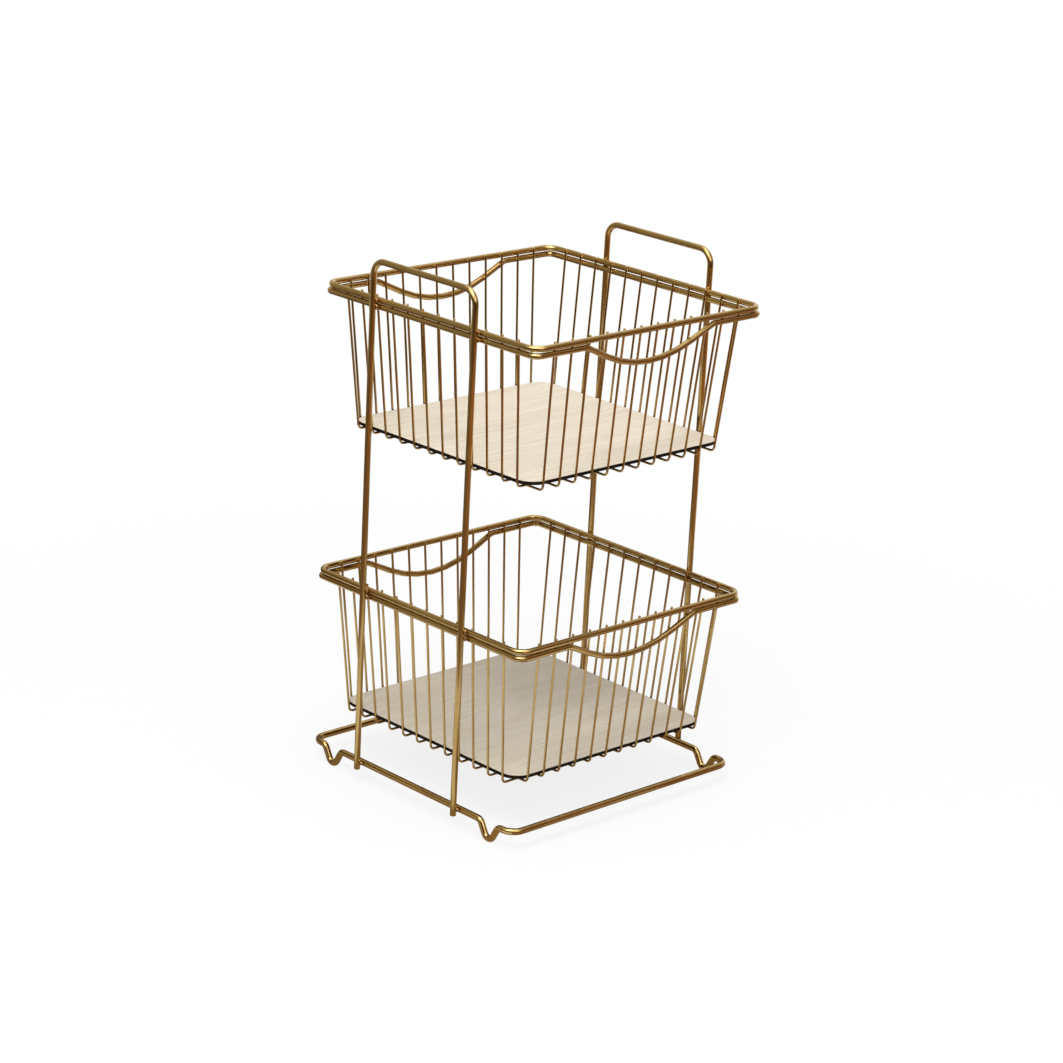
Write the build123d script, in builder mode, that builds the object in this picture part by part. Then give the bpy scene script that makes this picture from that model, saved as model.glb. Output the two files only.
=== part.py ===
from build123d import *
import os
from math import acos, asin, atan2, cos, hypot, pi, radians, sin, sqrt, tan

os.makedirs("parts", exist_ok=True)

# Two tier basket of bent round wire, in millimetres.
# It stands on z = 0, centred on the Z axis. The hoops are on the -X and +X sides,
# and the scooped rims face -Y and +Y.

# Wire diameters
rim_wire = 5.0
hoop_wire = 5.5
base_wire = 6.0
basket_wire = 2.0
weld_gap = 0.1  # left between two wires where a weld joins them
frame_wire_sides = 8  # round wire is drawn with flat sides
basket_wire_sides = 6
basket_bend_corners = 3  # and the small bends of the basket wires with blunt corners

# Loose boards
board_width = 232.0
board_thickness = 3.0
board_corner_radius = 17.0
board_side_clearance = 1.0  # to the wires beside it
board_seat_clearance = 0.3  # to the bends of the top wires, on which it lies

# Rims, measured at the centre of the wire
basket_splay = 17.5  # how far the rims stand out from the edge of the board
rim_corner_radius = 12.0
scoop_corner_radius = 6.5
rim_drop = 7.3  # from the top rim down to the scoop rim
scoop_width = 151.0  # between the bends where the scoop leaves the straight wire
scoop_depth = 23.0
scoop_slope = 25.0  # degrees, of the straight flanks
scoop_shoulder_radius = 9.0

# Heights of the two baskets. Each depth runs from the top rim's centre down to the board's face.
lower_rim_height = 181.0
tier_pitch = 262.0
upper_basket_depth = 121.5
lower_basket_depth = 123.5

# Basket wires, each bent to a U under the floor
wire_count = 12
rim_margin = 24.5  # from the centre of the rim's side to the outermost wire
floor_margin = 13.4  # from the edge of the board to the outermost wire
wire_end_height = 2.8  # above the top rim's centre
floor_bend_radius = 4.5

# Hoops
hoop_span = 129.4
hoop_corner_radius = 13.0
grip_rise = 35.0  # from the upper top rim to the hoop's top bar
leg_overhang = 5.0  # how far a leg ends below the base bar's centre

# Base ring with four feet bent into its side bars
base_corner_radius = 12.0
foot_depth = 14.0
foot_width = 30.0
foot_from_end = 28.5  # from the cross bar's centre to the middle of the foot
foot_toe_radius = 6.0
foot_shoulder_radius = 6.0

# Places that follow from the sizes above
board_half = board_width / 2
rim_half = board_half + basket_splay
rim_radius = rim_wire / 2
wire_radius = basket_wire / 2
wire_spaces = wire_count - 1
rim_pitch = 2 * (rim_half - rim_margin) / wire_spaces
floor_pitch = 2 * (board_half - floor_margin) / wire_spaces
hoop_offset = rim_half + rim_radius + weld_gap + hoop_wire / 2
base_half_width = hoop_offset - hoop_wire / 2 - weld_gap - base_wire / 2
base_half_length = rim_half
base_height = foot_depth + base_wire / 2
upper_rim_height = lower_rim_height + tier_pitch

# The board's lower edge lies in the bends of the top layer of floor wires.
rim_to_wire = rim_radius + weld_gap + wire_radius
bend_centre = board_half + board_side_clearance + wire_radius - floor_bend_radius
seat_radius = floor_bend_radius - wire_radius - board_seat_clearance
bend_above_edge = sqrt(seat_radius**2 - (board_half - bend_centre) ** 2)
top_layer_depth = board_thickness - bend_above_edge + floor_bend_radius
bottom_layer_depth = top_layer_depth + basket_wire + weld_gap


def write(piece, name):
    """Label a finished piece and write it to its own file."""
    piece.part.label = name
    export_step(piece.part, f"parts/{name}.step")


def across(line, facing):
    """The plane square to a path at its start. A corner of the wire's section faces that way."""
    return Plane(origin=line @ 0, x_dir=facing, z_dir=line % 0)


def wire_lean(drop):
    """The angle from upright of a leg whose floor run lies that far below the top rim.

    The leg passes the rim on its inner side and runs into the bend below on its outer side.
    """
    inward = rim_half - bend_centre
    down = drop - floor_bend_radius
    return atan2(inward, down) - asin((rim_to_wire + floor_bend_radius) / hypot(inward, down))


# Base ring: one closed wire. Each foot is a rounded V between two shoulders.
foot_half = foot_width / 2
foot_bends = foot_toe_radius + foot_shoulder_radius
foot_slope = atan2(foot_half, foot_bends - foot_depth) - acos(
    foot_bends / hypot(foot_half, foot_bends - foot_depth)
)
foot_tip = foot_depth + foot_toe_radius * (1 / cos(foot_slope) - 1)
foot_top = foot_tip / tan(foot_slope)
foot_middle = base_half_length - foot_from_end
base_side = [
    (0, 0),
    (foot_middle - foot_top, 0),
    (foot_middle, -foot_tip),
    (foot_middle + foot_top, 0),
    (base_half_length - base_corner_radius, 0),
]
base_side_radii = [foot_shoulder_radius, foot_toe_radius, foot_shoulder_radius]

side_plane = Plane(origin=(base_half_width, 0, base_height), x_dir=(0, 1, 0), z_dir=(1, 0, 0))

with BuildPart() as base_ring:
    with BuildLine(side_plane) as base_quarter:
        FilletPolyline(*base_side, radius=base_side_radii)
    with BuildLine(Plane.XY.offset(base_height)) as base_corner:
        corner_start = (base_half_width, base_half_length - base_corner_radius)
        corner_end = (base_half_width - base_corner_radius, base_half_length)
        RadiusArc(corner_start, corner_end, -base_corner_radius)
        Line(corner_end, (0, base_half_length))
    with BuildLine() as base_path:
        add(base_quarter.line)
        add(base_corner.line)
    with BuildSketch(across(base_quarter.line, side_plane.z_dir)):
        RegularPolygon(base_wire / 2, frame_wire_sides)
    sweep(path=base_path.line)
    mirror(about=Plane.YZ)
    mirror(about=Plane.XZ)
write(base_ring, "base_ring")


# Hoops: each runs from a leg end up over the grip and down to the other leg end.
hoop_half = hoop_span / 2
hoop_top = upper_rim_height + grip_rise
leg_end = base_height - leg_overhang
for side, hoop_name in ((-1, "left_hoop"), (1, "right_hoop")):
    hoop_plane = Plane(origin=(side * hoop_offset, 0, 0), x_dir=(0, 1, 0), z_dir=(1, 0, 0))
    with BuildPart() as hoop:
        with BuildLine(hoop_plane) as hoop_path:
            FilletPolyline(
                (-hoop_half, leg_end),
                (-hoop_half, hoop_top),
                (hoop_half, hoop_top),
                (hoop_half, leg_end),
                radius=hoop_corner_radius,
            )
        with BuildSketch(across(hoop_path.line, hoop_plane.z_dir)):
            RegularPolygon(hoop_wire / 2, frame_wire_sides)
        sweep()
    write(hoop, hoop_name)


# Rims: each is one closed wire. The scoop rim lies lower against the leaning wires,
# and dips on two sides in the plane of those wires.
scoop_half = scoop_width / 2
slope = radians(scoop_slope)
bowl_radius = (scoop_half * tan(slope) - scoop_depth) / (1 / cos(slope) - 1)
shoulder_length = scoop_shoulder_radius * tan(slope / 2)
shoulder_start = (scoop_half - shoulder_length * cos(slope), -shoulder_length * sin(slope))


def rim_quarter(start, half, corner_radius):
    """A quarter of a rim: from start on one side, round the corner, to the next side's middle."""
    corner_start = (half - corner_radius, half)
    corner_end = (half, half - corner_radius)
    Line((start, half), corner_start)
    RadiusArc(corner_start, corner_end, corner_radius)
    Line(corner_end, (half, 0))


def make_top_rim(height, name):
    rim_plane = Plane.XY.offset(height)
    with BuildPart() as rim:
        with BuildLine(rim_plane) as rim_path:
            rim_quarter(0, rim_half, rim_corner_radius)
        with BuildSketch(across(rim_path.line, rim_plane.z_dir)):
            RegularPolygon(rim_radius, frame_wire_sides)
        sweep()
        mirror(about=Plane.YZ)
        mirror(about=Plane.XZ)
    write(rim, name)


def make_scoop_rim(top_rim_height, lean, name):
    half = rim_half - rim_drop * tan(lean)
    height = top_rim_height - rim_drop
    scoop_plane = Plane(origin=(0, half, height), x_dir=(1, 0, 0), z_dir=(0, -cos(lean), sin(lean)))
    with BuildPart() as rim:
        with BuildLine(scoop_plane) as scoop_line:
            bowl = CenterArc((0, bowl_radius - scoop_depth), bowl_radius, -90, scoop_slope)
            flank = Line(bowl @ 1, shoulder_start)
            JernArc(flank @ 1, flank % 1, scoop_shoulder_radius, -scoop_slope)
        with BuildLine(Plane.XY.offset(height)) as corner_line:
            rim_quarter(scoop_half + shoulder_length, half, scoop_corner_radius)
        with BuildLine() as rim_path:
            add(scoop_line.line)
            add(corner_line.line)
        with BuildSketch(across(scoop_line.line, scoop_plane.z_dir)):
            RegularPolygon(rim_radius, frame_wire_sides)
        sweep(path=rim_path.line)
        mirror(about=Plane.YZ)
        mirror(about=Plane.XZ)
    write(rim, name)


# Basket wires: each is a flat U in a plane that tilts out with the fan of the wires.
def make_basket_wire(run_along_x, place, rim_height, drop, name):
    lean = wire_lean(drop)
    floor_height = rim_height - drop
    at_floor = place * floor_pitch
    fan = place * (rim_pitch - floor_pitch) / drop
    if run_along_x:
        wire_plane = Plane(origin=(0, at_floor, floor_height), x_dir=(1, 0, 0), z_dir=(0, -1, fan))
    else:
        wire_plane = Plane(origin=(at_floor, 0, floor_height), x_dir=(0, 1, 0), z_dir=(1, 0, -fan))
    leg_end_reach = rim_half - rim_to_wire / cos(lean) + wire_end_height * tan(lean)
    leg_end_rise = (drop + wire_end_height) * hypot(1, fan)
    corner_turn = (pi / 2 - lean) / basket_bend_corners
    corner_radius = floor_bend_radius / cos(corner_turn / 2)
    right_half = [(leg_end_reach, leg_end_rise)]
    for corner in range(basket_bend_corners):
        direction = lean + (corner + 1 / 2) * corner_turn
        reach = bend_centre + corner_radius * cos(direction)
        rise = floor_bend_radius - corner_radius * sin(direction)
        right_half.append((reach, rise))
    left_half = [(-reach, rise) for reach, rise in reversed(right_half)]
    with BuildPart() as wire:
        with BuildLine(wire_plane) as wire_path:
            Polyline(*right_half, *left_half)
        with BuildSketch(across(wire_path.line, wire_plane.x_dir)):
            RegularPolygon(wire_radius, basket_wire_sides)
        sweep(transition=Transition.RIGHT)
    write(wire, name)


def make_board(face_height, name):
    with BuildPart() as board:
        with BuildSketch(Plane.XY.offset(face_height - board_thickness)):
            RectangleRounded(board_width, board_width, board_corner_radius)
        extrude(amount=board_thickness)
    write(board, name)


# The two baskets. The cross wires run along X and the long wires along Y.
# The cross wires are the upper floor's top layer and the lower floor's bottom layer.
tiers = (
    ("upper", upper_rim_height, upper_basket_depth, top_layer_depth, bottom_layer_depth),
    ("lower", lower_rim_height, lower_basket_depth, bottom_layer_depth, top_layer_depth),
)
for tier, rim_height, depth, cross_depth, long_depth in tiers:
    make_top_rim(rim_height, f"{tier}_top_rim")
    make_scoop_rim(rim_height, wire_lean(depth + long_depth), f"{tier}_scoop_rim")
    for number in range(wire_count):
        place = number - wire_spaces / 2
        make_basket_wire(True, place, rim_height, depth + cross_depth, f"{tier}_cross_wire_{number + 1:02d}")
        make_basket_wire(False, place, rim_height, depth + long_depth, f"{tier}_long_wire_{number + 1:02d}")
    make_board(rim_height - depth, f"{tier}_board")
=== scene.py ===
from math import acos, asin, atan2, ceil, cos, exp, hypot, pi, radians, sin, sqrt, tan

import bmesh
import bpy
from mathutils import Matrix, Quaternion, Vector, noise
from mathutils.kdtree import KDTree


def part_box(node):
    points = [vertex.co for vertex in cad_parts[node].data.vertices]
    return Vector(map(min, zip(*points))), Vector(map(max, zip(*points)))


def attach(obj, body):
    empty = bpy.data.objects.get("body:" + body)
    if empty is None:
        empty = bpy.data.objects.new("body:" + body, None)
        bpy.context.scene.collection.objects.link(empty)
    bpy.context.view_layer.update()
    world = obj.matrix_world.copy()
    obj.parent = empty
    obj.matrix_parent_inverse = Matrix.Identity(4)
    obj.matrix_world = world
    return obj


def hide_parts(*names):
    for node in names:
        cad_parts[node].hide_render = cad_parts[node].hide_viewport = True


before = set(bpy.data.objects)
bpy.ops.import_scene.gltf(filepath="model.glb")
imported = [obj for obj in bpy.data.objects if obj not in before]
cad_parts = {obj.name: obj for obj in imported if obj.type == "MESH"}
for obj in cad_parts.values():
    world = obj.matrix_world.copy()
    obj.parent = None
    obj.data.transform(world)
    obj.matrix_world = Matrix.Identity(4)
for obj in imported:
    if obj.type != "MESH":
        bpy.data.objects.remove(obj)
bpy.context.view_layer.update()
print("frame loaded:", len(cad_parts), "nodes")


# The camera stands where the photograph was taken from.
viewpoint = {
    "azimuth": radians(-43.83),
    "elevation": radians(18.14),
    "roll": radians(2.95),
    "distance": 2.745,
    "target": Vector((0, 0, 0.2268)),
    "lens": 104.72,  # on a square 36 mm sensor
    "sensor": 36.0,
    "farLimit": 50,
}
straightUp = Vector((0, 0, 1))


def towards(azimuth, elevation):
    flat = cos(elevation)
    return Vector((sin(azimuth) * flat, -cos(azimuth) * flat, sin(elevation)))


def facing(right, up, back, place):
    return Matrix((
        (right.x, up.x, back.x, place.x),
        (right.y, up.y, back.y, place.y),
        (right.z, up.z, back.z, place.z),
        (0, 0, 0, 1),
    ))


def addObject(name, data):
    item = bpy.data.objects.new(name, data)
    bpy.context.scene.collection.objects.link(item)
    return item


def makeCamera(view):
    back = towards(view["azimuth"], view["elevation"])
    level = straightUp.cross(back).normalized()
    upright = back.cross(level)
    right = cos(view["roll"]) * level + sin(view["roll"]) * upright
    up = cos(view["roll"]) * upright - sin(view["roll"]) * level
    data = bpy.data.cameras.new("camera")
    data.lens = view["lens"]
    data.sensor_width = view["sensor"]
    data.clip_end = view["farLimit"]
    camera = addObject("camera", data)
    camera.matrix_world = facing(right, up, back, view["target"] + back * view["distance"])
    bpy.context.scene.camera = camera


makeCamera(viewpoint)
print("camera placed")


# Shader sums are written as plain expressions on signals.
class Signal:
    def __init__(self, sheet, socket):
        self.sheet = sheet
        self.socket = socket

    def maths(self, operation, first, second):
        return self.sheet.add("Math", {"operation": operation}, {0: first, 1: second})

    def __add__(self, other):
        return self.maths("ADD", self, other)

    def __radd__(self, other):
        return self.maths("ADD", other, self)

    def __sub__(self, other):
        return self.maths("SUBTRACT", self, other)

    def __rsub__(self, other):
        return self.maths("SUBTRACT", other, self)

    def __mul__(self, other):
        return self.maths("MULTIPLY", self, other)

    def __rmul__(self, other):
        return self.maths("MULTIPLY", other, self)


class Sheet:  # the nodes of one material, or of the world
    def __init__(self, tree):
        self.tree = tree
        tree.nodes.clear()

    def add(self, kind, settings=None, sockets=None, output=0):
        node = self.tree.nodes.new("ShaderNode" + kind)
        for key, value in (settings or {}).items():
            if key == "stops":
                self.setStops(node.color_ramp, value)
            else:
                setattr(node, key, value)
        for key, value in (sockets or {}).items():
            if isinstance(value, Signal):
                self.tree.links.new(value.socket, node.inputs[key])
            else:
                node.inputs[key].default_value = value
        return Signal(self, node.outputs[output]) if len(node.outputs) else None

    def setStops(self, ramp, stops):
        for element, (place, shade) in zip(ramp.elements, stops):
            element.position = place
            element.color = (shade, shade, shade, 1)

    def ramp(self, signal, low, high, start=0.0):  # climbs from start at low to 1 at high
        return self.add("ValToRGB", {"stops": ((low, start), (high, 1.0))}, {"Fac": signal})

    def grain(self, vector, scale=1.0, detail=2.0, roughness=0.5):  # noise about 0.5
        sockets = {"Vector": vector, "Scale": scale, "Detail": detail, "Roughness": roughness}
        return self.add("TexNoise", {}, sockets)

    def stretch(self, vector, scale):
        return self.add("Mapping", {}, {"Vector": vector, "Scale": scale})

    def blend(self, mask, first, second):  # 6, 7 and output 2 are the sockets for colours
        return self.add("Mix", {"data_type": "RGBA"}, {0: mask, 6: first, 7: second}, output=2)

    def bump(self, height, look):
        sockets = {"Height": height, "Strength": look["bumpStrength"], "Distance": look["bumpDepth"]}
        return self.add("Bump", {}, sockets)


def newMaterial(name):
    material = bpy.data.materials.new(name)
    material.use_nodes = True
    return material, Sheet(material.node_tree)


def closeMaterial(sheet, surface):
    sheet.add("OutputMaterial", {}, {"Surface": surface})


# Antique gold plating over drawn steel wire, browned by heat at the welds.
plating = {
    "gold": (0.55, 0.375, 0.14, 1),
    "bronze": (0.43, 0.27, 0.095, 1),
    "olive": (0.47, 0.37, 0.145, 1),
    "burnt": (0.20, 0.08, 0.035, 1),
    "bronzeShare": 0.75,
    "oliveShare": 0.35,
    "burntShare": 0.85,
    "cloudGrain": (32, 3.0),  # scale and detail: clouds of bronze about 30 mm across
    "cloudEdges": (0.36, 0.66),
    "tintGrain": (12.8, 1.0),  # and wider ones of olive
    "tintEdges": (0.42, 0.7),
    "speckGrain": (900, 2.0),
    "lineStretch": (1800, 1800, 14),  # lines left by the die, along the wire
    "lineGrain": (1.0, 3.0, 0.6),  # scale, detail and roughness
    "heatFloor": 0.65,  # specks break up the edge of the heat
    "heatSpecks": 0.7,
    "heatEdges": (0.12, 0.8),
    "roughness": 0.13,
    "cloudRoughness": 0.1,
    "lineRoughness": 0.08,
    "heatRoughness": 0.2,
    "lineHeight": 0.7,
    "speckHeight": 0.3,
    "bumpStrength": 0.25,
    "bumpDepth": 0.00005,
}


def platingMaterial(name, look):
    material, sheet = newMaterial(name)
    place = sheet.add("TexCoord", output="Object")
    wirePlace = sheet.add("Attribute", {"attribute_name": "wirePlace"}, output="Vector")
    cloud = sheet.ramp(sheet.grain(place, *look["cloudGrain"]), *look["cloudEdges"])
    tint = sheet.ramp(sheet.grain(place, *look["tintGrain"]), *look["tintEdges"])
    speck = sheet.grain(place, *look["speckGrain"])
    lines = sheet.grain(sheet.stretch(wirePlace, look["lineStretch"]), *look["lineGrain"])
    heat = sheet.add("Attribute", {"attribute_name": "heat"}, output="Fac")
    browned = sheet.ramp(heat * (look["heatFloor"] + look["heatSpecks"] * speck), *look["heatEdges"])
    tone = sheet.blend(cloud * look["bronzeShare"], look["gold"], look["bronze"])
    tone = sheet.blend(tint * look["oliveShare"], tone, look["olive"])
    tone = sheet.blend(browned * look["burntShare"], tone, look["burnt"])
    roughness = look["roughness"] + look["cloudRoughness"] * cloud + look["lineRoughness"] * (lines - 0.5)
    surface = sheet.add("BsdfPrincipled", {}, {
        "Base Color": tone,
        "Metallic": 1.0,
        "Roughness": roughness + look["heatRoughness"] * browned,
        "Normal": sheet.bump(look["lineHeight"] * lines + look["speckHeight"] * speck, look),
    })
    closeMaterial(sheet, surface)
    return material


# The beads have the same plating over rougher, browner metal.
beadMetal = {
    "bright": (0.62, 0.40, 0.20, 1),
    "burnt": (0.20, 0.075, 0.035, 1),
    "blotchGrain": (700, 3.0, 0.6),
    "blotchEdges": (0.38, 0.62),
    "pitGrain": (2100, 2.0),
    "roughness": 0.3,
    "burntRoughness": 0.2,
    "bumpStrength": 0.4,
    "bumpDepth": 0.0001,
}


def beadMaterial(name, look):
    material, sheet = newMaterial(name)
    place = sheet.add("TexCoord", output="Object")
    blotch = sheet.ramp(sheet.grain(place, *look["blotchGrain"]), *look["blotchEdges"])
    surface = sheet.add("BsdfPrincipled", {}, {
        "Base Color": sheet.blend(blotch, look["burnt"], look["bright"]),
        "Metallic": 1.0,
        "Roughness": look["roughness"] + look["burntRoughness"] * (1 - blotch),
        "Normal": sheet.bump(sheet.grain(place, *look["pitGrain"]), look),
    })
    closeMaterial(sheet, surface)
    return material


# Pale veneer with its grain along X.
veneer = {
    "pale": (0.80, 0.72, 0.595, 1),
    "warm": (0.62, 0.525, 0.395, 1),
    "pore": (0.42, 0.34, 0.24, 1),
    "driftStretch": (5, 9, 1),  # the grain drifts a little sideways
    "driftReach": 0.02,
    "bandStretch": (3.5, 42, 1),
    "bandEdges": (0.35, 0.65),
    "bandShare": 0.25,
    "streakStretch": (14, 400, 1),
    "streakGrain": (1.0, 3.0, 0.65),
    "streakEdges": (0.38, 0.68),
    "streakShare": 0.6,
    "poreStretch": (60, 1500, 1),
    "poreEdges": (0.6, 0.72),
    "poreShare": 0.3,
    "roughness": 0.5,
    "streakRoughness": 0.12,
    "poreGloss": 0.05,
    "height": 0.5,
    "bumpStrength": 0.2,
    "bumpDepth": 0.00008,
}


def veneerMaterial(name, look):
    material, sheet = newMaterial(name)
    place = sheet.add("TexCoord", output="Object")
    drift = sheet.grain(sheet.stretch(place, look["driftStretch"]))
    sway = sheet.add("CombineXYZ", {}, {"Y": look["driftReach"] * (drift - 0.5)})
    bent = sheet.add("VectorMath", {"operation": "ADD"}, {0: place, 1: sway})
    band = sheet.ramp(sheet.grain(sheet.stretch(bent, look["bandStretch"])), *look["bandEdges"])
    streaks = sheet.grain(sheet.stretch(bent, look["streakStretch"]), *look["streakGrain"])
    streak = sheet.ramp(streaks, *look["streakEdges"])
    pores = sheet.ramp(sheet.grain(sheet.stretch(bent, look["poreStretch"])), *look["poreEdges"])
    tone = sheet.blend(look["bandShare"] * band + look["streakShare"] * streak, look["pale"], look["warm"])
    tone = sheet.blend(look["poreShare"] * pores * streak, tone, look["pore"])
    surface = sheet.add("BsdfPrincipled", {}, {
        "Base Color": tone,
        "Roughness": look["roughness"] + look["streakRoughness"] * streak - look["poreGloss"] * pores,
        "Normal": sheet.bump(look["height"] * streak - look["height"] * pores, look),
    })
    closeMaterial(sheet, surface)
    return material


# The black core of the boards, scuffed where it was cut.
core = {
    "black": (0.009, 0.005, 0.003, 1),
    "scuffed": (0.032, 0.019, 0.012, 1),
    "scuffGrain": (260, 4.0, 0.6),
    "scuffEdges": (0.5, 0.72),
    "scuffShare": 0.6,
    "fibreGrain": (2400, 2.0),
    "roughness": 0.55,
    "scuffRoughness": 0.2,
    "specular": 0.1,
    "bumpStrength": 0.3,
    "bumpDepth": 0.00006,
}


def coreMaterial(name, look):
    material, sheet = newMaterial(name)
    place = sheet.add("TexCoord", output="Object")
    scuff = sheet.ramp(sheet.grain(place, *look["scuffGrain"]), *look["scuffEdges"])
    surface = sheet.add("BsdfPrincipled", {}, {
        "Base Color": sheet.blend(look["scuffShare"] * scuff, look["black"], look["scuffed"]),
        "Roughness": look["roughness"] + look["scuffRoughness"] * scuff,
        "Specular IOR Level": look["specular"],
        "Normal": sheet.bump(sheet.grain(place, *look["fibreGrain"]), look),
    })
    closeMaterial(sheet, surface)
    return material


goldWire = platingMaterial("goldPlating", plating)
weldBead = beadMaterial("weldBead", beadMetal)
paleVeneer = veneerMaterial("paleVeneer", veneer)
blackCore = coreMaterial("blackCore", core)
print("materials made")


# Bent wire: a route of corners with their bend radii, drawn as a round tube.
tube = {
    "pace": 0.006,  # longest step along a straight
    "weldPace": 0.0011,  # and beside a weld
    "weldSlack": 0.9,  # an even split of a stretch comes out a little shorter
    "weldReach": 0.003,
    "leastStep": 1e-6,  # closer points are one
    "arcPace": radians(9),
    "arcSteps": 3,  # at the least
    "heatReach": 0.0019,  # how far the brown of a weld spreads
    "heatRoom": 0.004,  # only welds this near to a wire's box can brown it
    "bow": 0.00009,  # how far a wire wanders from true
    "bowSeed": 7,  # without it the vector noise would change from run to run
    "bowScale": 19,
    "bowShift": (7.3, 3.1, 5.7),  # each wire has a seed, and wanders in its own part of the noise
    "seedPerLetter": 3.7,
    "seedPerCode": 0.61,
    "domeShares": ((0.88, 0.13), (0.55, 0.24)),  # rings of a dressed end: radius, rise
    "domeRise": 0.28,
}
noise.seed_set(tube["bowSeed"])


def bentRoute(corners, closed=False):
    route = []
    last = len(corners) - 1
    for index, (corner, radius) in enumerate(corners):
        if not closed and index in (0, last):
            route.append(corner.copy())
            continue
        back = (corners[index - 1][0] - corner).normalized()
        ahead = (corners[(index + 1) % len(corners)][0] - corner).normalized()
        turn = pi - back.angle(ahead)
        centre = corner + (back + ahead).normalized() * radius / cos(turn / 2)
        arm = corner + back * radius * tan(turn / 2) - centre
        axis = (-back).cross(ahead)
        steps = max(tube["arcSteps"], ceil(turn / tube["arcPace"]))
        for step in range(steps + 1):
            route.append(centre + Quaternion(axis, turn * step / steps) @ arm)
    return route + route[:1] if closed else route


def paced(route, weldTree):  # steps along the route, short ones beside the welds
    points = [route[0]]
    for point in route[1:]:
        start = points[-1]
        length = (point - start).length
        if length < tube["leastStep"]:
            continue
        fine = ceil(length / tube["weldPace"])
        gone = 0.0
        for part in range(1, fine):
            there = length * part / fine
            place = start.lerp(point, part / fine)
            besideWeld = weldTree.find(place)[2] < tube["weldReach"]
            pace = tube["weldPace"] * tube["weldSlack"] if besideWeld else tube["pace"]
            if there - gone >= pace:
                points.append(place)
                gone = there
        points.append(point)
    return points


def wander(points, node, amount):
    seed = len(node) * tube["seedPerLetter"] + sum(map(ord, node)) * tube["seedPerCode"]
    shift = Vector([seed * share for share in tube["bowShift"]])
    scale, bow = tube["bowScale"], tube["bow"]
    return [point + noise.noise_vector(point * scale + shift) * bow * amount for point in points]


def crossAxes(points, closed):  # two axes across the wire at each point, carried along it without a twist
    last = len(points) - 1
    tangents = []
    for index in range(len(points)):
        before = points[index - 1] if closed or index > 0 else points[0]
        after = points[(index + 1) % len(points)] if closed or index < last else points[last]
        tangents.append((after - before).normalized())
    side = tangents[0].orthogonal().normalized()
    sides = []
    for tangent in tangents:
        side = (side - tangent * side.dot(tangent)).normalized()
        sides.append(side)
    twist = 0.0  # what is left at the seam of a closed wire, spread over its length
    if closed:
        landed = (side - tangents[0] * side.dot(tangents[0])).normalized()
        twist = landed.angle(sides[0], 0.0)
        twist *= 1 if tangents[0].dot(landed.cross(sides[0])) > 0 else -1
    axes = []
    for index, (tangent, side) in enumerate(zip(tangents, sides)):
        first = Quaternion(tangent, twist * index / len(points)) @ side
        axes.append((first, tangent.cross(first)))
    return axes


def storeMesh(name, mesh):
    mesh.normal_update()
    data = bpy.data.meshes.new(name)
    mesh.to_mesh(data)
    mesh.free()
    return addObject(name, data)


def bridge(mesh, near, far):
    for spoke in range(len(near)):
        following = (spoke + 1) % len(near)
        mesh.faces.new((near[spoke], near[following], far[following], far[spoke])).smooth = True


def capEnd(mesh, ring, centre, out, radius):  # a cut end, tumbled to a blunt dome
    for share, rise in tube["domeShares"]:
        places = [centre + (vertex.co - centre).normalized() * radius * share for vertex in ring]
        inner = [mesh.verts.new(place) for place in places]
        for vertex in inner:
            vertex.co += out * radius * (rise - (vertex.co - centre).dot(out) / radius)
        bridge(mesh, ring, inner)
        ring = inner
    tip = mesh.verts.new(centre + out * radius * tube["domeRise"])
    for spoke in range(len(ring)):
        mesh.faces.new((ring[spoke], ring[(spoke + 1) % len(ring)], tip)).smooth = True


def drawTube(name, points, radius, sides, closed=False, swell=None):
    mesh = bmesh.new()
    wirePlace = mesh.verts.layers.float_vector.new("wirePlace")  # round the wire and along it
    middle = sum(points, Vector((0, 0, 0))) / len(points)
    rings = []
    gone = 0.0
    for index, (point, (across, over)) in enumerate(zip(points, crossAxes(points, closed))):
        gone += (point - points[index - 1]).length if index else 0.0
        size = radius * (swell(point) if swell else 1.0)
        point = point + (middle - point).normalized() * (size - radius)  # a swelling grows inwards
        ring = []
        for spoke in range(sides):
            angle = 2 * pi * spoke / sides
            vertex = mesh.verts.new(point + (across * cos(angle) + over * sin(angle)) * size)
            vertex[wirePlace] = (radius * cos(angle), radius * sin(angle), gone)
            ring.append(vertex)
        rings.append(ring)
    if closed:
        rings.append(rings[0])
    for near, far in zip(rings, rings[1:]):
        bridge(mesh, near, far)
    if not closed:
        capEnd(mesh, rings[0][::-1], points[0], (points[0] - points[1]).normalized(), radius)
        capEnd(mesh, rings[-1], points[-1], (points[-1] - points[-2]).normalized(), radius)
    return storeMesh(name, mesh)


def makeTree(welds):
    tree = KDTree(len(welds))
    for index, weld in enumerate(welds):
        tree.insert(weld[0], index)
    tree.balance()
    return tree


def heatUp(piece, weldTree):  # from 1 at a weld to 0 away from it
    gaps = [weldTree.find(vertex.co)[2] for vertex in piece.data.vertices]
    heat = [exp(-((gap / tube["heatReach"]) ** 2)) for gap in gaps]
    piece.data.attributes.new("heat", "FLOAT", "POINT").data.foreach_set("value", heat)


def camel(node):
    first, *rest = node.split("_")
    return first + "".join(word.capitalize() for word in rest)


def drawWire(node, route, sizes, welds, closed=False, swell=None):
    weldTree = makeTree(welds)
    points = paced(route, weldTree)
    if closed:
        points.pop()
    points = wander(points, node, sizes.get("wander", 0.0))
    thickness = sizes.get("plated", sizes["wire"])
    piece = drawTube(camel(node), points, thickness / 2, sizes["sides"], closed, swell)
    heatUp(piece, weldTree)
    piece.data.materials.append(goldWire)
    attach(piece, "wire_frame")
    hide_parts(node)


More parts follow.
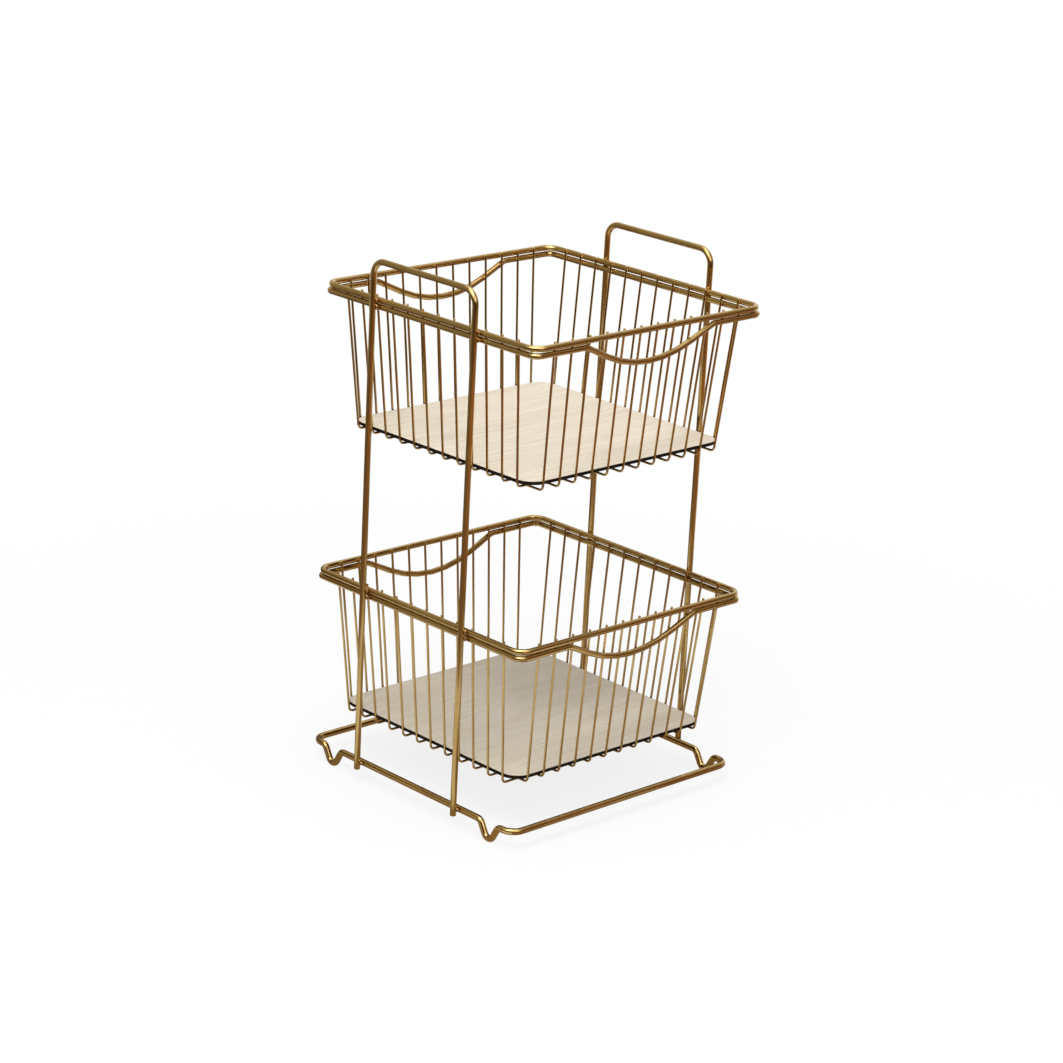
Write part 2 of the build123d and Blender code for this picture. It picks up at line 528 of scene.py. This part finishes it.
# Sizes of wire and bends. Where a piece stands is read from the frame.
# The solids' wire is bare; with its plating and gloss the real one looks a little thicker.
rim = {
    "wire": 0.005,
    "plated": 0.0053,
    "sides": 24,
    "cornerRadius": 0.012,
    "seamShare": 0.5,  # of the back bar's half, left of its middle, where the wire begins
    "sink": 0.0005,  # it sits a touch lower between the wires than its solid
    "wander": 0.5,
}
scoop = {
    "wire": 0.005,
    "plated": 0.0053,
    "sides": 24,
    "cornerRadius": 0.0065,
    "lift": 0.0009,  # and the scoop rim a touch higher
    "width": 0.151,
    "depth": 0.023,
    "slope": radians(25),
    "shoulderRadius": 0.009,
    "wander": 0.5,
}
hoop = {
    "wire": 0.0055,
    "sides": 24,
    "cornerRadius": 0.013,
    "weldShare": 0.38,  # of its thickness, from the leg's middle towards the front
}
base = {
    "wire": 0.006,
    "sides": 26,
    "cornerRadius": 0.012,
    "footDepth": 0.014,
    "footWidth": 0.030,
    "footFromEnd": 0.0285,
    "footRadius": 0.006,
    "seamAt": 0.004,  # the butt weld in the front bar
    "seamSwell": 0.07,
    "seamReach": 0.004,
}
basket = {
    "wire": 0.002,
    "plated": 0.0021,
    "sides": 12,
    "count": 12,
    "bendRadius": 0.0045,
    "boardGap": 0.001,
    "tipSink": 0.0004,
    "wander": 1.0,
}


# The rims and boards of one basket, as they stand in the frame.
def readTier(name):
    rimLow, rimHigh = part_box(f"{name}_top_rim")
    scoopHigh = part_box(f"{name}_scoop_rim")[1]
    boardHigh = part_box(f"{name}_board")[1]
    return {
        "rimHalf": rimHigh.x - rim["wire"] / 2,
        "rimHeight": (rimLow.z + rimHigh.z) / 2 - rim["sink"],
        "scoopHalf": scoopHigh.x - scoop["wire"] / 2,
        "scoopHeight": scoopHigh.z - scoop["wire"] / 2 + scoop["lift"],
        "bendCentre": boardHigh.x + basket["boardGap"] + basket["wire"] / 2 - basket["bendRadius"],
    }


# A basket wire lies in a plane that tilts out with the fan of the wires.
class BasketWire:
    def __init__(self, tier, node, alongX):
        radius = basket["wire"] / 2
        bend = basket["bendRadius"]
        low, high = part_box(node)
        span, side = (0, 1) if alongX else (1, 0)
        self.node, self.alongX = node, alongX
        self.floor, self.tip = low.z + radius, high.z
        self.tipReach = high[span] - radius
        halfFlat = radius * cos(pi / 6)  # the solid has six sides
        ends = (low[side] + halfFlat, high[side] - halfFlat)
        self.floorSide, self.tipSide = sorted(ends, key=abs)
        run = self.tipReach - tier["bendCentre"]
        rise = self.tip - self.floor - bend
        self.lean = atan2(run, rise) - asin(bend / hypot(run, rise))
        self.corner = tier["bendCentre"] + bend * tan(pi / 4 - self.lean / 2)

    def at(self, reach, height):
        share = (height - self.floor) / (self.tip - self.floor)
        side = self.floorSide + (self.tipSide - self.floorSide) * share
        return Vector((reach, side, height) if self.alongX else (side, reach, height))

    def legAt(self, end, height):  # the leg's centre line, at end -1 or 1
        return self.at(end * (self.tipReach - (self.tip - height) * tan(self.lean)), height)

    def outward(self, end):
        return Vector((end, 0, 0) if self.alongX else (0, end, 0))

    def route(self):
        top = self.tip - basket["tipSink"]
        bends = [(self.at(end * self.corner, self.floor), basket["bendRadius"]) for end in (-1, 1)]
        return bentRoute([(self.legAt(-1, top), 0), *bends, (self.legAt(1, top), 0)])


def bowlRadius():
    tip = scoop["width"] / 2 * tan(scoop["slope"])
    return (tip - scoop["depth"]) / (1 / cos(scoop["slope"]) - 1)


def scoopDip(across):  # how deep the scoop rim has dipped at a distance from its middle
    across, slope, bowl = abs(across), scoop["slope"], bowlRadius()
    if across < bowl * sin(slope):
        return scoop["depth"] - bowl + sqrt(bowl**2 - across**2)
    return max(0.0, (scoop["width"] / 2 - across) * tan(slope))


def topRimRoute(tier):
    half, height, radius = tier["rimHalf"], tier["rimHeight"], rim["cornerRadius"]
    seam = [(Vector((-half * rim["seamShare"], half, height)), 0)]
    turns = ((-half, half), (-half, -half), (half, -half), (half, half))
    return bentRoute(seam + [(Vector((x, y, height)), radius) for x, y in turns], closed=True)


def scoopRimRoute(tier, lean):
    half, height, shoulder = tier["scoopHalf"], tier["scoopHeight"], scoop["width"] / 2
    dips = (
        (-shoulder, 0, scoop["shoulderRadius"]),
        (0, shoulder * tan(scoop["slope"]), bowlRadius()),
        (shoulder, 0, scoop["shoulderRadius"]),
    )
    corners = []
    for side in (-1, 1):  # front then back
        corners.append((Vector((side * half, side * half, height)), scoop["cornerRadius"]))
        for x, drop, radius in dips:
            y = side * (half - drop * sin(lean))
            corners.append((Vector((-side * x, y, height - drop * cos(lean))), radius))
        corners.append((Vector((-side * half, side * half, height)), scoop["cornerRadius"]))
    return bentRoute(corners, closed=True)


def baseRoute():
    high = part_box("base_ring")[1]
    radius = base["wire"] / 2
    x, y, height = high.x - radius, high.y - radius, high.z - radius
    half, bends = base["footWidth"] / 2, 2 * base["footRadius"]
    over = bends - base["footDepth"]
    slope = atan2(half, over) - acos(bends / hypot(half, over))
    toe = base["footDepth"] + base["footRadius"] * (1 / cos(slope) - 1)
    reach = toe / tan(slope)
    middle = y - base["footFromEnd"]
    corners = [(Vector((base["seamAt"], -y, height)), 0)]
    for side in (1, -1):  # right bar from front to back, then left bar from back to front
        corners.append((Vector((side * x, -side * y, height)), base["cornerRadius"]))
        for foot in (-1, 1):
            for step, drop in ((-1, 0), (0, toe), (1, 0)):
                place = Vector((side * x, side * (foot * middle + step * reach), height - drop))
                corners.append((place, base["footRadius"]))
        corners.append((Vector((side * x, side * y, height)), base["cornerRadius"]))
    return bentRoute(corners, closed=True)


def hoopRoute(node):
    low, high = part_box(node)
    radius = hoop["wire"] / 2
    x, y, top = (low.x + high.x) / 2, high.y - radius, high.z - radius
    bend = hoop["cornerRadius"]
    corners = ((-y, low.z, 0), (-y, top, bend), (y, top, bend), (y, low.z, 0))
    return bentRoute([(Vector((x, across, height)), turn) for across, height, turn in corners])


# Weld beads: small lumps of melted wire, gathered in one mesh for each group.
bead = {
    "rim": (0.0014, 0.0009, 0.0012),  # half sizes along the rim, out of the basket, and upright
    "floor": (0.0011, 0.0011, 0.0010),
    "hoop": (0.0017, 0.0016, 0.0024),
    "base": (0.0020, 0.0016, 0.0018),
    "lump": 0.28,  # how uneven they are
    "lumpGrain": 1.4,
    "lumpShift": 900,  # each bead takes another part of the noise
    "splits": 2,
}


def addBead(mesh, place, along, outward, size):
    along, outward = along.normalized(), outward.normalized()
    upright = along.cross(outward)
    turn = facing(along, outward, upright, Vector((0, 0, 0))).to_3x3()
    ball = bmesh.ops.create_icosphere(mesh, subdivisions=bead["splits"], radius=1.0)
    for vertex in ball["verts"]:
        lumpy = 1 + bead["lump"] * noise.noise(vertex.co * bead["lumpGrain"] + place * bead["lumpShift"])
        vertex.co = place + turn @ Vector([part * half * lumpy for part, half in zip(vertex.co, size)])
        for face in vertex.link_faces:
            face.smooth = True


def drawBeads(name, welds):
    mesh = bmesh.new()
    for place, along, outward, size in welds:
        addBead(mesh, place, along, outward, size)
    piece = storeMesh(name, mesh)
    piece.data.materials.append(weldBead)
    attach(piece, "wire_frame")


# Boards: rounded squares, veneered on top and black at the cut edge.
board = {
    "cornerRadius": 0.017,
    "cornerSteps": 14,
    "edgeRadius": 0.0005,
    "edgeSteps": 3,
}


def boardOutline(low, high, inset):
    radius, steps = board["cornerRadius"], board["cornerSteps"]
    middle, half = (low + high) / 2, (high - low) / 2
    points = []
    for quarter, (right, back) in enumerate(((1, 1), (1, -1), (-1, -1), (-1, 1))):
        centre = middle + Vector((right * (half.x - radius), back * (half.y - radius), 0))
        for step in range(steps + 1):
            angle = quarter * pi / 2 + step * pi / 2 / steps
            points.append(centre.xy + Vector((sin(angle), cos(angle))) * (radius - inset))
    return points


def edgeProfile():  # how far each step of the rounded edge lies in from the side and from the face
    radius, steps = board["edgeRadius"], board["edgeSteps"]
    angles = [step * pi / 2 / steps for step in range(steps + 1)]
    return [(radius * (1 - sin(angle)), radius * (1 - cos(angle))) for angle in angles]


def drawBoard(node):
    low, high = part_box(node)
    mesh = bmesh.new()
    levels = [(inset, low.z + rise) for inset, rise in edgeProfile()]
    levels += [(inset, high.z - rise) for inset, rise in reversed(edgeProfile())]
    rings = []
    for inset, height in levels:
        rings.append([mesh.verts.new((x, y, height)) for x, y in boardOutline(low, high, inset)])
    for lower, upper in zip(rings, rings[1:]):
        bridge(mesh, lower, upper)
    mesh.faces.new(rings[0][::-1])
    for face in mesh.faces:
        face.material_index = 1  # black all over, but for the top
    mesh.faces.new(rings[-1])
    bmesh.ops.recalc_face_normals(mesh, faces=mesh.faces)
    piece = storeMesh(camel(node), mesh)
    piece.data.materials.append(paleVeneer)
    piece.data.materials.append(blackCore)
    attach(piece, node)
    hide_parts(node)


# Welds: each has its place, the directions along the wire and outward, and its half sizes.
def rimJoints(tier, wires, lean):  # where the basket wires meet the top rim and the scoop rim
    radius = basket["wire"] / 2
    topWelds, scoopWelds = [], []
    for wire in wires:
        for end in (-1, 1):
            outward = wire.outward(end)
            along = straightUp.cross(outward)
            place = wire.legAt(end, tier["rimHeight"]) + outward * radius
            topWelds.append((place, along, outward, bead["rim"]))
            height = tier["scoopHeight"]
            if not wire.alongX:
                height -= scoopDip(wire.legAt(end, height).x) * cos(lean)
            scoopWelds.append((wire.legAt(end, height) + outward * radius, along, outward, bead["rim"]))
    return topWelds, scoopWelds


def floorJoints(crossWires, longWires):
    welds = []
    for cross in crossWires:
        for long in longWires:
            place = Vector((long.floorSide, cross.floorSide, (cross.floor + long.floor) / 2))
            welds.append((place, Vector((1, 0, 0)), Vector((0, 1, 0)), bead["floor"]))
    return welds


def hoopJoints(heights, size):  # on the inner faces of the four legs
    welds = []
    for node in ("left_hoop", "right_hoop"):
        low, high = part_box(node)
        side = 1 if high.x > 0 else -1
        face = (low.x + high.x) / 2 - side * hoop["wire"] / 2
        for leg in (low.y + hoop["wire"] / 2, high.y - hoop["wire"] / 2):
            for height in heights:
                place = Vector((face, leg - hoop["wire"] * hoop["weldShare"], height))
                welds.append((place, Vector((0, 1, 0)), Vector((side, 0, 0)), size))
    return welds


def weldsBeside(welds, node):
    low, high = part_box(node)
    room = tube["heatRoom"]

    def beside(place):
        return all(low[i] - room < place[i] < high[i] + room for i in range(3))

    return [weld for weld in welds if beside(weld[0])]


def makeWires(tier, name, kind, alongX):
    nodes = [f"{name}_{kind}_wire_{number + 1:02d}" for number in range(basket["count"])]
    return [BasketWire(tier, node, alongX) for node in nodes]


def makeTier(name):
    tier = readTier(name)
    crossWires = makeWires(tier, name, "cross", True)
    longWires = makeWires(tier, name, "long", False)
    lean = longWires[0].lean
    rimWelds, scoopWelds = rimJoints(tier, crossWires + longWires, lean)
    floorWelds = floorJoints(crossWires, longWires)
    hoopWelds = hoopJoints((tier["rimHeight"], tier["scoopHeight"]), bead["hoop"])
    rims = (
        ("top_rim", topRimRoute(tier), rim, rimWelds),
        ("scoop_rim", scoopRimRoute(tier, lean), scoop, scoopWelds),
    )
    for kind, route, sizes, welds in rims:
        drawWire(f"{name}_{kind}", route, sizes, welds + hoopWelds, closed=True)
    for wire in crossWires + longWires:
        welds = weldsBeside(rimWelds + scoopWelds + floorWelds, wire.node)
        drawWire(wire.node, wire.route(), basket, welds)
    drawBeads(f"{name}RimWelds", rimWelds + scoopWelds)
    drawBeads(f"{name}FloorWelds", floorWelds)
    drawBeads(f"{name}HoopWelds", hoopWelds)
    drawBoard(f"{name}_board")
    print(name, "basket made")
    return hoopWelds


hoopWelds = makeTier("upper") + makeTier("lower")


def baseSwell(place):  # the butt weld in the front bar
    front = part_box("base_ring")[0].y + base["wire"] / 2
    away = (place - Vector((base["seamAt"], front, place.z))).length
    return 1 + base["seamSwell"] * exp(-((away / base["seamReach"]) ** 2))


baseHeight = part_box("base_ring")[1].z - base["wire"] / 2
footWelds = hoopJoints((baseHeight,), bead["base"])
drawBeads("baseWelds", footWelds)
drawWire("base_ring", baseRoute(), base, footWelds, closed=True, swell=baseSwell)
for node in ("left_hoop", "right_hoop"):
    drawWire(node, hoopRoute(node), hoop, weldsBeside(hoopWelds + footWelds, node))
print("base and hoops made")


# A pale floor and soft light. The cards and bands only show as reflections in the metal.
studio = {
    "floorSize": 14.0,
    "floorColour": (0.9, 0.9, 0.9, 1),
    "floorGlow": 0.84,  # share of the floor that stays white in the shadow
    "shadowEdges": (0.2, 0.9),  # it is white all over, away from the object
    "worldLevel": 0.48,
    "white": (1, 1, 1, 1),
    "aim": Vector((0, 0, 0.24)),
    "lamps": (  # name, azimuth, elevation, distance, width, height, watts
        ("keyLamp", -70, 50, 2.4, 1.3, 1.0, 22),
        ("sparkLamp", -48, 58, 2.4, 0.5, 0.4, 9),
        ("fillLamp", -15, 35, 2.8, 1.6, 1.2, 10),
        ("topLamp", 20, 86, 2.5, 1.4, 1.4, 17),
    ),
    "cards": (  # name, azimuth, distance, width, low, high, colour
        ("cameraCard", -43, 1.6, 1.3, 0.0, 0.8, (0.035, 0.02, 0.013)),
        ("leftCard", -84, 1.9, 3.0, 0.0, 0.85, (0.07, 0.055, 0.04)),
        ("rightCard", 12, 1.9, 3.4, 0.0, 0.9, (0.11, 0.055, 0.035)),
    ),
    "bands": (  # name, from and to azimuth, radius and height at one edge and at the other, colour
        ("nearLeftMat", -125, -55, (0.5, 0), (1.0, 0), (0.25, 0.15, 0.10)),
        ("farLeftMat", -125, -55, (1.0, 0), (2.3, 0), (0.21, 0.165, 0.12)),
        # painted shadow: the next five bands, under and around the object, stand for the object's shade on
        # the floor, seen only in the metal's reflections
        ("paintedShadowUnder", -55, 25, (0.02, 0), (0.19, 0), (0.42, 0.30, 0.20)),
        ("paintedShadowFront", -45, 5, (0.19, 0), (0.32, 0), (0.34, 0.24, 0.15)),
        ("paintedShadowRight", 25, 100, (0.02, 0), (0.4, 0), (0.33, 0.22, 0.13)),
        ("paintedShadowLeft", -125, -55, (0.02, 0), (0.2, 0), (0.40, 0.30, 0.20)),
        ("paintedShadowBack", -170, -125, (0.02, 0), (0.3, 0), (0.36, 0.27, 0.18)),
        ("nearMat", -55, 15, (0.5, 0), (1.0, 0), (0.30, 0.175, 0.105)),
        ("nearRightMat", 15, 60, (0.5, 0), (1.0, 0), (0.40, 0.25, 0.145)),
        ("farRightMat", -55, 60, (1.0, 0), (2.3, 0), (0.48, 0.24, 0.125)),
        ("backMat", 60, 195, (0.4, 0), (0.75, 0), (0.35, 0.28, 0.20)),
        ("backLeftMat", 195, 250, (0.45, 0), (3.2, 0), (0.34, 0.29, 0.22)),
        ("baseWall", 100, 235, (0.5, 0.02), (0.5, 0.27), (0.17, 0.13, 0.09)),
        ("backWall", 140, 190, (3.2, 0), (3.2, 4.0), (0.62, 0.56, 0.46)),
        ("backLeftWall", 190, 250, (3.2, 0), (3.2, 4.0), (0.37, 0.33, 0.26)),
        ("rightWall", 20, 88, (3.2, 0.3), (3.2, 4.0), (0.40, 0.295, 0.225)),
    ),
    "bandSteps": 24,
    "bandLift": 0.0006,  # clear of the floor
}


def flatSheet(name, width, height):
    mesh = bmesh.new()
    corners = ((-1, -1), (1, -1), (1, 1), (-1, 1))
    mesh.faces.new([mesh.verts.new((x * width / 2, y * height / 2, 0)) for x, y in corners])
    return storeMesh(name, mesh)


def standAt(azimuth, elevation, distance, aim):
    back = towards(radians(azimuth), radians(elevation))
    level = straightUp.cross(back).normalized()
    return facing(level, back.cross(level), back, aim + back * distance)


def seenWhite(sheet):  # 1 where the camera, a gloss or a see-through ray looks
    camera, gloss, through = (
        sheet.add("LightPath", output=f"Is {kind} Ray") for kind in ("Camera", "Glossy", "Transmission")
    )
    return camera + gloss + through


def makeFloor():
    material, sheet = newMaterial("paleFloor")
    plain = sheet.add("BsdfDiffuse", {}, {"Color": studio["floorColour"]})
    glow = sheet.add("Emission", {}, {"Color": studio["white"], "Strength": 1.0})
    place = sheet.add("TexCoord", output="Object")
    away = sheet.add("VectorMath", {"operation": "LENGTH"}, {0: place}, output="Value")
    share = sheet.ramp(away, *studio["shadowEdges"], start=studio["floorGlow"])
    closeMaterial(sheet, sheet.add("MixShader", {}, {0: share * seenWhite(sheet), 1: plain, 2: glow}))
    floor = flatSheet("floor", studio["floorSize"], studio["floorSize"])
    floor.data.materials.append(material)


def makeWorld():
    world = bpy.data.worlds.new("studioWorld")
    world.use_nodes = True
    bpy.context.scene.world = world
    sheet = Sheet(world.node_tree)
    level = studio["worldLevel"]
    strength = level + (1 - level) * seenWhite(sheet)
    sky = sheet.add("Background", {}, {"Color": studio["white"], "Strength": strength})
    sheet.add("OutputWorld", {}, {"Surface": sky})


def makeLamp(name, azimuth, elevation, distance, width, height, watts):
    data = bpy.data.lights.new(name, "AREA")
    data.shape = "RECTANGLE"
    data.size, data.size_y, data.energy = width, height, watts
    addObject(name, data).matrix_world = standAt(azimuth, elevation, distance, studio["aim"])


def glossOnly(card, colour):
    material, sheet = newMaterial(card.name)
    closeMaterial(sheet, sheet.add("Emission", {}, {"Color": (*colour, 1), "Strength": 1.0}))
    card.data.materials.append(material)
    card.visible_camera = card.visible_diffuse = card.visible_shadow = card.visible_transmission = False


def makeCard(name, azimuth, distance, width, low, high, colour):
    card = flatSheet(name, width, high - low)
    card.matrix_world = standAt(azimuth, 0, distance, Vector((0, 0, (low + high) / 2)))
    glossOnly(card, colour)


def makeBand(name, begin, end, inner, outer, colour):
    mesh = bmesh.new()
    strip, steps, lift = [], studio["bandSteps"], studio["bandLift"]
    for step in range(steps + 1):
        out = towards(radians(begin + (end - begin) * step / steps), 0)
        pair = [(out.x * radius, out.y * radius, height + lift) for radius, height in (inner, outer)]
        strip.append([mesh.verts.new(place) for place in pair])
    for (first, second), (third, fourth) in zip(strip, strip[1:]):
        mesh.faces.new((first, second, fourth, third))
    glossOnly(storeMesh(name, mesh), colour)


makeFloor()
makeWorld()
for lamp in studio["lamps"]:
    makeLamp(*lamp)
for card in studio["cards"]:
    makeCard(*card)
for band in studio["bands"]:
    makeBand(*band)
bpy.context.scene.view_settings.view_transform = "Standard"
print("studio set up")
